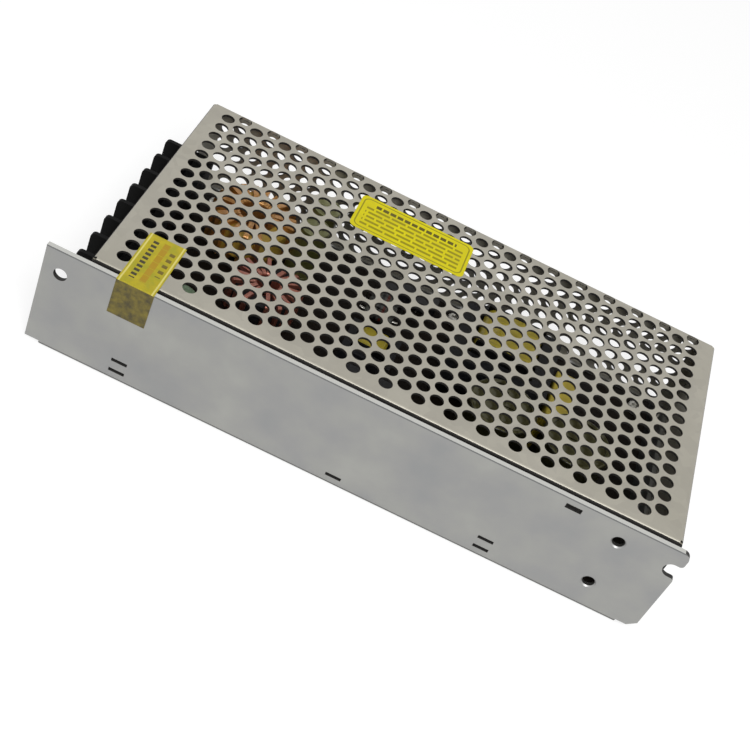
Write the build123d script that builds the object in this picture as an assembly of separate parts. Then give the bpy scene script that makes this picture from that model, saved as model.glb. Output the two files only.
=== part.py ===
from build123d import *
import math
import os

# Mesh case switching power supply, in millimetres.
# Everything is modelled from the left, front, bottom corner of the case:
# X runs along the long side wall, Y goes back from that wall, Z goes up from the base.
# The last step moves it all so that the origin is the middle of the base.

# Case
case_length = 199.0
case_width = 98.0
case_height = 38.0

# Folded aluminium chassis
chassis_t = 1.5
chassis_bend = 2.0
base_left_inset = 4.5
back_flange_height = 7.0
right_flange_height = 7.0
wall_corner_cut = 2.5
ear_corner_radius = 2.6
ear_hole_inset = 5.7
ear_height = 29.6
ear_hole_d = 4.2
ear_slot_width = 5.3
ear_slot_depth = 4.8
prong_radius = 1.1
side_hole_inset = 19.4
side_hole_low = 11.2
side_hole_spacing = 19.3
side_hole_d = 3.8
side_hole_chamfer = 0.4
hook_slot_inset = 35.5
hook_slot_drop = 3.2
hook_slot_length = 5.0
hook_slot_height = 1.8
hook_clearance = 0.9
hook_tip = 1.0

# Bridge lances in the side wall, which hold the edge of the board
lance_length = 5.0
lance_height = 1.2
lance_reach = 1.6
lance_low = 4.3
lance_high = 8.3
lance_left_inset = 29.1
lance_right_inset = 51.4

# Folded, perforated steel cover
cover_t = 0.8
cover_bend = 1.1
cover_drop = 0.3
cover_left_inset = 12.2
cover_right_inset = 3.0
cover_front_gap = 2.0
cover_foot_gap = 0.3
cover_fit = 0.15
cover_seam = 0.15
front_flange_height = 5.0
left_flange_height = 9.0

# Perforation: round holes, each an equal pitch from its six neighbours
hole_d = 4.4
hole_pitch = 5.9
first_row_inset = 6.3
first_column_inset = 7.0
last_column_margin = 7.0
wall_foot_margin = 7.0

# Cover screws, flush in the far side wall
cover_screw_left_inset = 40.0
cover_screw_right_inset = 34.0
cover_screw_r = 1.45
cover_screw_head_r = 2.6
cover_screw_length = 2.6
cover_screw_slot = (0.7, 0.4)
screw_clearance = 0.1

# Labels
label_t = 0.12
top_label_left = 69.8
top_label_back_inset = 10.0
top_label_length = 39.7
top_label_width = 18.0
top_label_radius = 2.0
seal_left = 21.2
seal_width = 11.6
seal_depth = 20.5
seal_fall = 13.0

# Board, its standoffs and screws
board_t = 1.6
board_gap = 0.4
board_right_gap = 5.4
sheet_t = 0.25
sheet_margin = 3.0
standoff_r = 3.0
board_screw_r = 1.45
board_screw_head_r = 2.75
board_screw_head_h = 2.0
board_screw_hole_r = 1.7
standoff_inset_back = 7.1
standoff_inset_left = 25.5
standoff_inset_right = 5.0
standoff_middle_x = 115.0
standoff_front_y = 10.0

# Terminal block
pole_pitch = 9.5
barrier_t = 1.4
block_left = 4.0
block_front = 16.2
block_depth = 17.0
block_floor = 9.5
block_height = 19.8
block_rear_wall = 5.5
block_corner_radius = 1.5
terminal_plate_t = 0.8
terminal_plate_width = 7.4
terminal_plate_length = 9.6
terminal_clamp_t = 0.8
terminal_clamp_side = 6.8
terminal_screw_r = 1.7
terminal_screw_head_r = 3.0
terminal_screw_head_h = 2.0
terminal_screw_length = 7.0
terminal_clamp_radius = 0.8
plate_inset = 1.0
cross_width = 0.9
cross_depth = 0.9
cross_reach = 0.55
head_round = 0.5

# Trimmer and indicator lamp
trimmer_side = 6.6
trimmer_height = 5.5
trimmer_gap = 0.4
trimmer_x = 8.8
rotor_r = 2.05
rotor_length = 3.4
rotor_fit = 0.05
rotor_seat_depth = 3.0
rotor_slot_width = 0.6
rotor_slot_depth = 0.9
rotor_slot_reach = 0.7
rotor_pointer_depth = 0.4
trimmer_corner = 0.5
lamp_x = 6.6
lamp_r = 1.5
lamp_rim_r = 1.8
lamp_rim_t = 0.8
lamp_height = 4.6
lamp_gap = 0.2

# Fuse
fuse_x = 38.0
fuse_y = 9.0
fuse_length = 20.0
fuse_cap_length = 5.0
fuse_cap_r = 2.6
fuse_glass_r = 2.35
fuse_axis_height = 4.4
fuse_clip_length = 4.0
fuse_clip_width = 7.0
fuse_clip_height = 5.2

# Mains filter parts
thermistor_x = 35.0
thermistor_y = 30.0
thermistor_r = 5.5
thermistor_t = 4.0
lead_r = 0.4
lead_length = 1.5
coat_round = 0.3
box_round = 0.8
core_edge = 0.6
line_capacitor_x = 60.0
line_capacitor_y = 10.0
line_capacitor_size = (18.0, 8.5, 14.5)
line_choke_x = 55.5
line_choke_r = 10.5
line_choke_bore = 5.0
line_choke_height = 9.0
line_choke_turns = 8
line_choke_wire = 1.3
disc_x = 76.0
disc_y = (20.0, 30.0)
disc_r = 4.0
disc_t = 3.0

# Rectifier and bulk capacitors
bridge_x = 95.5
bridge_y = 21.0
bridge_size = (22.0, 4.6, 17.0)
bridge_leg_pitch = 6.0
bridge_leg = (1.0, 0.6, 3.0)
bridge_corner = 2.5
bridge_legs = 4
bulk_last_offset = 64.0
bulk_spacing = 24.5
bulk_front_offset = 18.5
bulk_r = 11.0
bulk_height = 26.0
bulk_capacitors = 2

# Shape of a sleeved can, as shares of its radius
can_round = 0.08
can_recess = 0.04
can_face = 0.82
can_groove_height = 0.35
can_groove = 0.12
can_vent_width = 0.05
can_vent_reach = 0.6

# Power devices on the front wall
bar_left = 80.0
bar_length = 50.0
bar_t = 3.0
bar_height = 25.0
pad_t = 0.3
device_pitch = 16.0
device_size = (10.2, 4.5, 9.2)
device_tab_t = 1.3
device_tab_height = 15.5
device_lift = 4.5
device_leg_pitch = 2.54
device_leg = (0.8, 0.6)
device_screw_r = 1.45
device_screw_head_r = 2.7
device_screw_head_h = 1.8
device_edge = 0.4
devices = 3
bar_hole_floor = 0.5

# Transformers: plan length, plan width, core thickness, leg width, winding build
main_core = (34.0, 30.0, 12.0, 5.0, 6.0)
main_transformer_x = 132.0
main_transformer_offset = 15.5
main_core_lift = 7.0
driver_core = (17.0, 16.0, 5.0, 2.6, 3.2)
driver_transformer_x = 93.0
driver_core_lift = 4.0
bobbin_t = 1.0
winding_round = 0.7
winding_gap = 0.1

# Box capacitor in series with the main transformer
coupling_gap = 1.0
coupling_offset = 5.3
coupling_capacitor_size = (7.5, 22.0, 19.5)

# Output choke and capacitors
output_choke_x = 40.5
output_choke_inset = 3.3
choke_gap = 0.9
output_choke_r = 12.5
output_choke_bore = 7.0
output_choke_height = 10.0
output_choke_turns = 26
output_choke_wire = 1.7
winding_overlap = 0.98
widest_winding = 330.0
output_capacitor_x = 60.5
output_capacitor_inset = 7.0
output_capacitor_spacing = 12.5
output_capacitor_r = 5.0
output_capacitor_height = 20.0
output_capacitors = 2

# Small parts
chip_x = 98.0
chip_inset = 8.2
chip_size = (19.5, 6.4, 3.4)
chip_lift = 0.8
chip_legs = 8
chip_leg_pitch = 2.54
chip_leg_size = (0.6, 0.3)
chip_notch_r = 1.2
resistor_x = 91.0
resistor_inset = 16.0
resistor_pitch = 4.6
resistors = 3
resistor_r = 1.9
resistor_length = 10.0
resistor_lift = 1.0
resistor_round = 0.6
resistor_lead_reach = 1.5

# How far a cutter runs past a face, how deep joined pieces run into each other, and how near counts as on
cut_past = 1.0
join_depth = 1.0
on_margin = 0.01

# Worked out from the above
cover_top = case_height - cover_drop
cover_front = chassis_t + cover_front_gap
cover_right = case_length - cover_right_inset
cover_length = cover_right - cover_left_inset
flange_back = case_width - cover_t - cover_fit
base_right = cover_right - cover_t - cover_fit
board_bottom = lance_low + lance_height / 2
board_top = board_bottom + board_t
board_left = base_left_inset + board_gap
board_right = base_right - chassis_t - board_right_gap
board_front = chassis_t + board_gap
board_back = flange_back - chassis_t - board_gap
board_middle_x = (board_left + board_right) / 2
board_middle_y = (board_front + board_back) / 2
side_hole_x = case_length - side_hole_inset
hook_slot_x = case_length - hook_slot_inset
lance_pair_x = (lance_left_inset, case_length - lance_right_inset)
cover_screw_x = (cover_screw_left_inset, case_length - cover_screw_right_inset)
trimmer_room = trimmer_gap + trimmer_side + lamp_gap + 2 * lamp_rim_r
poles = int((board_back - trimmer_room - block_front - barrier_t) / pole_pitch)
block_bottom = board_top
block_top = block_bottom + block_height
block_length = poles * pole_pitch + barrier_t
terminal_floor = block_bottom + block_floor
terminal_x = block_left + plate_inset + terminal_plate_length / 2
column_pitch = hole_pitch * math.sqrt(3) / 2
bulk_y = board_middle_y - bulk_front_offset
main_transformer_y = board_middle_y + main_transformer_offset
driver_transformer_y = board_middle_y
output_choke_reach = output_choke_r + winding_gap + output_choke_wire
line_choke_reach = line_choke_r + winding_gap + line_choke_wire
output_choke_y = board_back - output_choke_inset - output_choke_reach
line_choke_y = output_choke_y - output_choke_reach - choke_gap - line_choke_reach
chip_y = board_back - chip_inset


def block(x0, x1, y0, y1, z0, z1):
    """A box between two corners."""
    return Pos((x0 + x1) / 2, (y0 + y1) / 2, (z0 + z1) / 2) * Box(x1 - x0, y1 - y0, z1 - z0)


def upright(x, y, z0, z1, r):
    """A round bar along Z."""
    return Pos(x, y, (z0 + z1) / 2) * Cylinder(r, z1 - z0)


def along_x(x0, x1, y, z, r):
    """A round bar along X."""
    return Pos((x0 + x1) / 2, y, z) * Rot(0, 90, 0) * Cylinder(r, x1 - x0)


def along_y(x, y0, y1, z, r):
    """A round bar along Y."""
    return Pos(x, (y0 + y1) / 2, z) * Rot(90, 0, 0) * Cylinder(r, y1 - y0)


def bend_strip(length, radius, thickness):
    """A quarter-round bend of sheet along X, level at the local origin, then out to +Y and down."""
    ring = Circle(radius) - Circle(radius - thickness)
    quarter = ring & (Pos(radius / 2, radius / 2) * Rectangle(radius, radius))
    return Pos(0, 0, -radius) * extrude(Plane.YZ * quarter, amount=length)


def upward_bend(length, radius, thickness):
    """The same bend, turned up: it starts level, goes out to +Y and ends facing up."""
    return mirror(bend_strip(length, radius, thickness), Plane.XY)


def joined(pieces):
    """All the pieces as one solid."""
    first = pieces[0]
    return first.fuse(*pieces[1:])


# Chassis


def lance_bridge(x, z):
    """A strip of the wall pushed inwards, still joined to the wall at both of its ends."""
    half = lance_length / 2
    slope = lance_reach
    start = chassis_t / 2
    inner = chassis_t + lance_reach
    under = inner - chassis_t / 2
    outline = Polyline(
        (-half - slope, start),
        (-half, inner),
        (half, inner),
        (half + slope, start),
        (half, start),
        (half - slope / 2, under),
        (-half + slope / 2, under),
        (-half, start),
        close=True,
    )
    return Pos(x, 0, z - lance_height / 2) * extrude(make_face(outline), amount=lance_height)


def lance_places():
    """The middle of each lance, as X and Z."""
    places = [(x, z) for x in lance_pair_x for z in (lance_low, lance_high)]
    return places + [(case_length / 2, lance_low)]


def right_edge_corners(face):
    """The corners of the side wall's outline that lie on its right edge."""
    return face.vertices().filter_by_position(Axis.X, case_length - on_margin, case_length + on_margin)


def wall_outline():
    """The side wall in its own plane, X along and Z up, with every hole that goes through it."""
    low = chassis_bend
    high = case_height
    corner_start = case_length - wall_corner_cut
    slot_x = case_length - ear_slot_depth + ear_slot_width / 2
    edge = [
        Line((0, low), (corner_start, low)),
        Line((corner_start, low), (case_length, low + wall_corner_cut)),
        Line((case_length, low + wall_corner_cut), (case_length, high)),
        Line((case_length, high), (0, high)),
        Line((0, high), (0, low)),
    ]
    face = make_face(edge)
    slot = Pos(slot_x, ear_height) * Circle(ear_slot_width / 2)
    slot += Pos(slot_x + ear_slot_depth / 2, ear_height) * Rectangle(ear_slot_depth, ear_slot_width)
    face = face - slot
    face = fillet(right_edge_corners(face).sort_by(Axis.Y)[-1], ear_corner_radius)
    slot_low = ear_height - ear_slot_width / 2 - on_margin
    slot_high = ear_height + ear_slot_width / 2 + on_margin
    prongs = right_edge_corners(face).filter_by_position(Axis.Y, slot_low, slot_high)
    face = fillet(prongs, min(prong_radius, ear_slot_width / 4))
    face -= Pos(ear_hole_inset, ear_height) * Circle(ear_hole_d / 2)
    for z in (side_hole_low, side_hole_low + side_hole_spacing):
        face -= Pos(side_hole_x, z) * Circle(side_hole_d / 2)
    for x, z in lance_places():
        face -= Pos(x, z) * Rectangle(lance_length, lance_height)
    face -= Pos(hook_slot_x, case_height - hook_slot_drop) * Rectangle(hook_slot_length, hook_slot_height)
    return face


def side_hole_cone(z):
    """The ring that breaks the edge of a side hole on the outer face."""
    wide = side_hole_d / 2 + side_hole_chamfer
    cone = Cone(wide, side_hole_d / 2, side_hole_chamfer)
    return Pos(side_hole_x, side_hole_chamfer / 2, z) * Rot(-90, 0, 0) * cone


def screw_hole_in_flange(x):
    """The tapped hole of one cover screw in the back flange."""
    z = cover_screw_height()
    r = cover_screw_r + screw_clearance / 2
    return along_y(x, flange_back - chassis_t - cut_past, flange_back + cut_past, z, r)


def make_chassis():
    """One aluminium sheet: the side wall, the base, and low flanges at the back and the right."""
    wall = extrude(Plane.XZ * wall_outline(), amount=-chassis_t)
    flat_right = base_right - chassis_bend
    flat_back = flange_back - chassis_bend
    base = block(base_left_inset, flat_right, chassis_bend, flat_back, 0, chassis_t)
    front_strip = upward_bend(flat_right - base_left_inset, chassis_bend, chassis_t)
    front_bend = Pos(flat_right, chassis_bend, 0) * Rot(0, 0, 180) * front_strip
    back_strip = upward_bend(flat_right - cover_left_inset, chassis_bend, chassis_t)
    back_bend = Pos(cover_left_inset, flat_back, 0) * back_strip
    back_flange = block(
        cover_left_inset,
        flat_right,
        flange_back - chassis_t,
        flange_back,
        chassis_bend,
        back_flange_height,
    )
    right_strip = upward_bend(flat_back - chassis_bend, chassis_bend, chassis_t)
    right_bend = Pos(flat_right, flat_back, 0) * Rot(0, 0, -90) * right_strip
    right_flange = block(
        base_right - chassis_t,
        base_right,
        chassis_bend,
        flat_back,
        chassis_bend,
        right_flange_height,
    )
    bridges = [lance_bridge(x, z) for x, z in lance_places()]
    body = joined([wall, base, front_bend, back_bend, back_flange, right_bend, right_flange] + bridges)
    for z in (side_hole_low, side_hole_low + side_hole_spacing):
        body -= side_hole_cone(z)
    for x in cover_screw_x:
        body -= screw_hole_in_flange(x)
    return body


# Cover


def row_places(odd, end):
    """How far each hole of a column lies from the cover's front face, measured along the unfolded sheet."""
    start = first_row_inset + (hole_pitch / 2 if odd else 0)
    count = int((end - start) / hole_pitch) + 1
    return [start + i * hole_pitch for i in range(count)]


def column_places():
    """The X of each column of holes."""
    room = cover_length - first_column_inset - last_column_margin
    count = int(room / column_pitch) + 1
    return [cover_left_inset + first_column_inset + i * column_pitch for i in range(count)]


def sort_holes():
    """The cover's holes in three lists: flat on the top, over the back bend, flat on the back wall."""
    flat = case_width - cover_front - cover_bend
    arc = (cover_bend - cover_t / 2) * math.pi / 2
    wall_height = cover_top - cover_foot_gap
    end = flat + arc + wall_height - cover_bend - wall_foot_margin
    r = hole_d / 2
    on_top, over_bend, on_wall = [], [], []
    for i, x in enumerate(column_places()):
        for s in row_places(i % 2 == 1, end):
            drop = cover_bend + s - flat - arc
            if s + r < flat:
                on_top.append((x, cover_front + s))
            elif s < flat + arc / 2:
                over_bend.append((x, cover_front + s))
            elif drop - r > cover_bend:
                on_wall.append((x, cover_top - drop))
    return on_top, over_bend, on_wall


def holed_sheet(plane, low, high, centres, thickness):
    """A flat sheet with round holes, made as one outline with its circles and then thickened."""
    width = high[0] - low[0]
    height = high[1] - low[1]
    middle = plane.from_local_coords((low[0] + width / 2, low[1] + height / 2, 0))
    outer = Wire.make_rect(width, height, Plane(middle, plane.x_dir, plane.z_dir))
    circles = []
    for u, v in centres:
        spot = plane.from_local_coords((u, v, 0))
        circles.append(Wire.make_circle(hole_d / 2, Plane(spot, plane.x_dir, plane.z_dir)))
    return Solid.extrude(Face(outer, circles), plane.z_dir * -thickness)


def cover_screw_height():
    """How high the cover screws sit."""
    return (chassis_bend + back_flange_height) / 2


def cover_screw_hole(x):
    """A countersunk hole for one cover screw in the far side wall."""
    wide = cover_screw_head_r + screw_clearance
    cone = Cone(wide, wide - cover_t, cover_t)
    return Pos(x, case_width - cover_t / 2, cover_screw_height()) * Rot(90, 0, 0) * cone


def hook_tab():
    """The tongue of the front flange that hooks into the slot of the side wall."""
    z = case_height - hook_slot_drop
    half = hook_slot_length / 2 - hook_clearance
    root = cover_front + cover_t / 2
    return block(hook_slot_x - half, hook_slot_x + half, hook_tip, root, z - cover_t / 2, z + cover_t / 2)


def make_cover():
    """One perforated steel sheet: the top, the far side wall, the right end wall and two short flanges."""
    on_top, over_bend, on_wall = sort_holes()
    r = hole_d / 2
    left = cover_left_inset
    flat_left = left + cover_bend
    flat_right = cover_right - cover_bend
    flat_front = cover_front + cover_bend
    flat_back = case_width - cover_bend
    bend_bottom = cover_top - cover_bend
    top_plane = Plane((0, 0, cover_top), (1, 0, 0), (0, 0, 1))
    top = holed_sheet(top_plane, (flat_left, flat_front), (flat_right, flat_back), on_top, cover_t)
    back_plane = Plane((0, case_width, 0), (-1, 0, 0), (0, 1, 0))
    wall_holes = [(-x, z) for x, z in on_wall]
    wall_right = cover_right - cover_t - cover_seam
    back = holed_sheet(back_plane, (-wall_right, cover_foot_gap), (-left, bend_bottom), wall_holes, cover_t)
    long_bend = bend_strip(flat_right - flat_left, cover_bend, cover_t)
    short_bend = bend_strip(flat_back - flat_front, cover_bend, cover_t)
    back_bend = Pos(flat_left, flat_back, cover_top) * long_bend
    front_bend = Pos(flat_right, flat_front, cover_top) * Rot(0, 0, 180) * long_bend
    right_bend = Pos(flat_right, flat_back, cover_top) * Rot(0, 0, -90) * short_bend
    left_bend = Pos(flat_left, flat_front, cover_top) * Rot(0, 0, 90) * short_bend
    inner = cover_t + cover_seam
    front_low = cover_top - front_flange_height
    front = block(left, wall_right, cover_front, cover_front + cover_t, front_low, bend_bottom)
    right = block(cover_right - cover_t, cover_right, cover_front, case_width, cover_foot_gap, bend_bottom)
    left_low = cover_top - left_flange_height
    left_flange = block(left, left + cover_t, cover_front + inner, case_width - inner, left_low, bend_bottom)
    body = joined(
        [top, back, back_bend, front_bend, right_bend, left_bend, front, right, left_flange, hook_tab()]
    )
    cutters = [upright(x, y, bend_bottom, cover_top + cut_past, r) for x, y in over_bend]
    cutters += [cover_screw_hole(x) for x in cover_screw_x]
    return body.cut(*cutters)


def make_cover_screws():
    """Countersunk screws, flush with the far side wall, driven into the back flange."""
    z = cover_screw_height()
    head_h = cover_t + cover_fit / 2
    slot_width, slot_depth = cover_screw_slot
    screws = []
    for x in cover_screw_x:
        head = Cone(cover_screw_head_r, cover_screw_head_r - head_h, head_h)
        head = Pos(x, case_width - head_h / 2, z) * Rot(90, 0, 0) * head
        shank = along_y(x, case_width - cover_screw_length, case_width - head_h / 2, z, cover_screw_r)
        slot = block(
            x - cover_screw_head_r,
            x + cover_screw_head_r,
            case_width - slot_depth,
            case_width,
            z - slot_width / 2,
            z + slot_width / 2,
        )
        screws.append(head + shank - slot)
    return Compound(children=screws)


# Labels


def make_top_label():
    """A thin yellow label on the top of the cover, in its far half."""
    x = top_label_left + top_label_length / 2
    y = case_width - top_label_back_inset - top_label_width / 2
    shape = RectangleRounded(top_label_length, top_label_width, top_label_radius)
    return extrude(Pos(x, y, cover_top) * shape, amount=label_t)


def make_seal_label():
    """A thin seal that lies on the cover, crosses the gap and goes down the side wall's outer face."""
    over = case_height - cover_top
    profile = Polyline(
        (-label_t, case_height - seal_fall),
        (-label_t, case_height + label_t),
        (chassis_t, case_height + label_t),
        (cover_front + cover_bend + over, cover_top + label_t),
        (cover_front + seal_depth, cover_top + label_t),
        (cover_front + seal_depth, cover_top),
        (cover_front + cover_bend + over, cover_top),
        (chassis_t, case_height),
        (0, case_height),
        (0, case_height - seal_fall),
        close=True,
    )
    return Pos(seal_left, 0, 0) * extrude(Plane.YZ * make_face(profile), amount=seal_width)


# Board and what holds it


def standoff_places():
    """The middle of each standoff, as X and Y."""
    back = board_back - standoff_inset_back
    right = board_right - standoff_inset_right
    return [
        (standoff_inset_left, back),
        (standoff_middle_x, back),
        (right, back),
        (right, standoff_front_y),
    ]


def make_insulating_sheet():
    """A thin sheet between the base and the board, cut clear of the standoffs."""
    sheet = block(
        board_left + sheet_margin,
        board_right - sheet_margin,
        board_front + sheet_margin,
        board_back - sheet_margin,
        chassis_t,
        chassis_t + sheet_t,
    )
    for x, y in standoff_places():
        sheet -= upright(x, y, 0, board_bottom, standoff_r + board_gap)
    return sheet


def make_board():
    """The circuit board, with its screw holes."""
    board = block(board_left, board_right, board_front, board_back, board_bottom, board_top)
    for x, y in standoff_places():
        board -= upright(x, y, 0, case_height, board_screw_hole_r)
    return board


def make_standoffs():
    """Tapped pillars between the base and the board."""
    pillars = []
    for x, y in standoff_places():
        pillar = upright(x, y, chassis_t, board_bottom, standoff_r)
        pillars.append(pillar - upright(x, y, chassis_t, board_bottom, board_screw_r + screw_clearance / 2))
    return Compound(children=pillars)


def cross_cut(x, y, top, width, depth, reach):
    """The cross recess of a screw head."""
    one = block(x - reach, x + reach, y - width / 2, y + width / 2, top - depth, top + depth)
    two = block(x - width / 2, x + width / 2, y - reach, y + reach, top - depth, top + depth)
    return one + two


def make_board_screws():
    """Round-head screws that hold the board down on its pillars."""
    screws = []
    for x, y in standoff_places():
        top = board_top + board_screw_head_h
        screw = upright(x, y, board_top, top, board_screw_head_r)
        screw = fillet(screw.edges().sort_by(Axis.Z)[-1], board_screw_head_h * head_round)
        screw += upright(x, y, chassis_t, board_top, board_screw_r)
        recess = cross_cut(x, y, top, cross_width, cross_depth, board_screw_head_r * cross_reach)
        screws.append(screw - recess)
    return Compound(children=screws)


# Terminal block


def bay_middles():
    """The Y of the middle of each bay between two barriers."""
    first = block_front + barrier_t / 2 + pole_pitch / 2
    return [first + i * pole_pitch for i in range(poles)]


def make_terminal_block():
    """One black moulding: a floor, a rear wall and a barrier at each side of every pole."""
    right = block_left + block_depth
    back = block_front + block_length
    wall_left = right - block_rear_wall
    side_right = wall_left + join_depth
    floor = block(block_left + plate_inset, right, block_front, back, block_bottom, terminal_floor)
    wall = block(wall_left, right, block_front, back, block_bottom, block_top)
    side = make_face(
        [
            Line((block_left, block_bottom), (side_right, block_bottom)),
            Line((side_right, block_bottom), (side_right, block_top)),
            Line((side_right, block_top), (block_left, block_top)),
            Line((block_left, block_top), (block_left, block_bottom)),
        ]
    )
    corner = side.vertices().sort_by(lambda v: v.X - v.Y)[0]
    side = fillet(corner, block_corner_radius)
    pieces = [floor, wall]
    for i in range(poles + 1):
        y = block_front + i * pole_pitch
        pieces.append(Pos(0, y, 0) * extrude(Plane.XZ * side, amount=-barrier_t))
    body = joined(pieces)
    screw_bottom = terminal_floor - terminal_screw_length + terminal_plate_t + terminal_clamp_t
    hole_r = terminal_screw_r + screw_clearance
    for y in bay_middles():
        body -= upright(terminal_x, y, screw_bottom, terminal_floor + cut_past, hole_r)
    return body


def make_terminal_plates():
    """One flat metal plate on the floor of each bay."""
    plates = []
    for y in bay_middles():
        half = terminal_plate_width / 2
        plate = block(
            terminal_x - terminal_plate_length / 2,
            terminal_x + terminal_plate_length / 2,
            y - half,
            y + half,
            terminal_floor,
            terminal_floor + terminal_plate_t,
        )
        top = terminal_floor + terminal_plate_t + cut_past
        hole = upright(terminal_x, y, terminal_floor - cut_past, top, terminal_screw_r + screw_clearance)
        plates.append(plate - hole)
    return Compound(children=plates)


def make_terminal_clamps():
    """The square clamp washer under each terminal screw."""
    low = terminal_floor + terminal_plate_t
    clamps = []
    for y in bay_middles():
        shape = RectangleRounded(terminal_clamp_side, terminal_clamp_side, terminal_clamp_radius)
        shape -= Circle(terminal_screw_r + screw_clearance)
        clamps.append(Pos(terminal_x, y, low) * extrude(shape, amount=terminal_clamp_t))
    return Compound(children=clamps)


def make_terminal_screws():
    """Round-head terminal screws with cross recesses."""
    low = terminal_floor + terminal_plate_t + terminal_clamp_t
    top = low + terminal_screw_head_h
    screws = []
    for y in bay_middles():
        head = upright(terminal_x, y, low, top, terminal_screw_head_r)
        head = fillet(head.edges().sort_by(Axis.Z)[-1], terminal_screw_head_h * head_round)
        shank = upright(terminal_x, y, low - terminal_screw_length, low, terminal_screw_r)
        cut = cross_cut(terminal_x, y, top, cross_width, cross_depth, terminal_screw_head_r * cross_reach)
        screws.append(head + shank - cut)
    return Compound(children=screws)


# Trimmer and lamp


def trimmer_y():
    """The trimmer stands just behind the terminal block."""
    return block_front + block_length + trimmer_gap + trimmer_side / 2


def make_trimmer_body():
    """A square moulding with a round seat for the rotor."""
    top = board_top + trimmer_height
    body = Pos(trimmer_x, trimmer_y(), board_top + trimmer_height / 2) * Box(
        trimmer_side, trimmer_side, trimmer_height
    )
    body = fillet(body.edges().filter_by(Axis.Z), trimmer_corner)
    return body - upright(trimmer_x, trimmer_y(), top - rotor_seat_depth, top + cut_past, rotor_r + rotor_fit)


def make_trimmer_rotor():
    """The part that a small screwdriver turns. One arm of its cross slot reaches the rim as a pointer."""
    x = trimmer_x
    y = trimmer_y()
    low = board_top + trimmer_height - rotor_seat_depth + rotor_fit
    top = low + rotor_length
    rotor = upright(x, y, low, top, rotor_r)
    rotor -= cross_cut(x, y, top, rotor_slot_width, rotor_slot_depth, rotor_r * rotor_slot_reach)
    half = rotor_slot_width / 2
    pointer_low = top - rotor_pointer_depth
    return rotor - block(x - half, x + half, y, y + rotor_r + cut_past, pointer_low, top + cut_past)


def make_lamp():
    """A small round indicator lamp with a domed top and a rim."""
    y = trimmer_y() + trimmer_side / 2 + lamp_gap + lamp_rim_r
    dome_z = board_top + lamp_height - lamp_r
    lamp = upright(lamp_x, y, board_top, board_top + lamp_rim_t, lamp_rim_r)
    lamp += upright(lamp_x, y, board_top, dome_z, lamp_r)
    return lamp + Pos(lamp_x, y, dome_z) * Sphere(lamp_r)


# Mains side


def fuse_ends():
    """The middle of each fuse cap, as X."""
    reach = (fuse_length - fuse_cap_length) / 2
    return (fuse_x - reach, fuse_x + reach)


def make_fuse_glass():
    """The glass tube between the two caps of the fuse."""
    half = fuse_length / 2 - fuse_cap_length
    return along_x(fuse_x - half, fuse_x + half, fuse_y, board_top + fuse_axis_height, fuse_glass_r)


def make_fuse_caps():
    """The two metal caps of the fuse."""
    half = fuse_cap_length / 2
    z = board_top + fuse_axis_height
    return Compound(children=[along_x(x - half, x + half, fuse_y, z, fuse_cap_r) for x in fuse_ends()])


def make_fuse_clips():
    """A spring clip under each cap, open at the top."""
    clips = []
    half = fuse_clip_length / 2
    z = board_top + fuse_axis_height
    for x in fuse_ends():
        clip = block(
            x - half,
            x + half,
            fuse_y - fuse_clip_width / 2,
            fuse_y + fuse_clip_width / 2,
            board_top,
            board_top + fuse_clip_height,
        )
        clips.append(clip - along_x(x - half - cut_past, x + half + cut_past, fuse_y, z, fuse_cap_r))
    return Compound(children=clips)


def disc_part(x, y, r, thickness):
    """A coated disc that stands on two leads."""
    z = board_top + lead_length + r
    disc = along_y(x, y - thickness / 2, y + thickness / 2, z, r)
    disc = fillet(disc.edges(), thickness * coat_round)
    for side in (-1, 1):
        disc += upright(x + side * r / 2, y, board_top, z, lead_r)
    return disc


def make_thermistor():
    """The disc that limits the inrush current."""
    return disc_part(thermistor_x, thermistor_y, thermistor_r, thermistor_t)


def make_suppression_discs():
    """Two small disc capacitors."""
    return Compound(children=[disc_part(disc_x, y, disc_r, disc_t) for y in disc_y])


def box_capacitor(x, y, sizes):
    """A box-shaped film capacitor that stands on the board."""
    body = Pos(x, y, board_top + sizes[2] / 2) * Box(*sizes)
    return fillet(body.edges(), box_round)


def make_line_capacitor():
    """The film capacitor across the mains."""
    return box_capacitor(line_capacitor_x, line_capacitor_y, line_capacitor_size)


def ring_core(x, y, outer, bore, height, wire):
    """A ring core that lies flat above the board, on the lowest turns of its wire."""
    low = board_top + winding_gap + wire
    ring = upright(x, y, low, low + height, outer)
    ring -= upright(x, y, low - cut_past, low + height + cut_past, bore)
    return chamfer(ring.edges().filter_by(GeomType.CIRCLE), core_edge)


def ring_winding(x, y, outer, bore, height, wire, angles):
    """Turns of wire around a ring core, side by side, that touch at the bore."""
    gap = winding_gap
    section = Rectangle(outer - bore + 2 * gap + 2 * wire, height + 2 * gap + 2 * wire)
    section = fillet(section.vertices(), wire * winding_round)
    section -= Rectangle(outer - bore + 2 * gap, height + 2 * gap)
    loop = extrude(Plane.XZ * section, amount=wire / 2, both=True)
    loop = Pos((outer + bore) / 2, 0, 0) * loop
    low = board_top + gap + wire
    turns = [Pos(x, y, low + height / 2) * Rot(0, 0, a) * loop for a in angles]
    return joined(turns)


def touching_step(bore, wire):
    """The angle between turns that just overlap at the bore."""
    return math.degrees(2 * math.asin(wire / (2 * (bore - winding_gap)))) * winding_overlap


def make_line_choke_core():
    """The ferrite ring of the mains filter choke."""
    return ring_core(
        line_choke_x,
        line_choke_y,
        line_choke_r,
        line_choke_bore,
        line_choke_height,
        line_choke_wire,
    )


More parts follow.
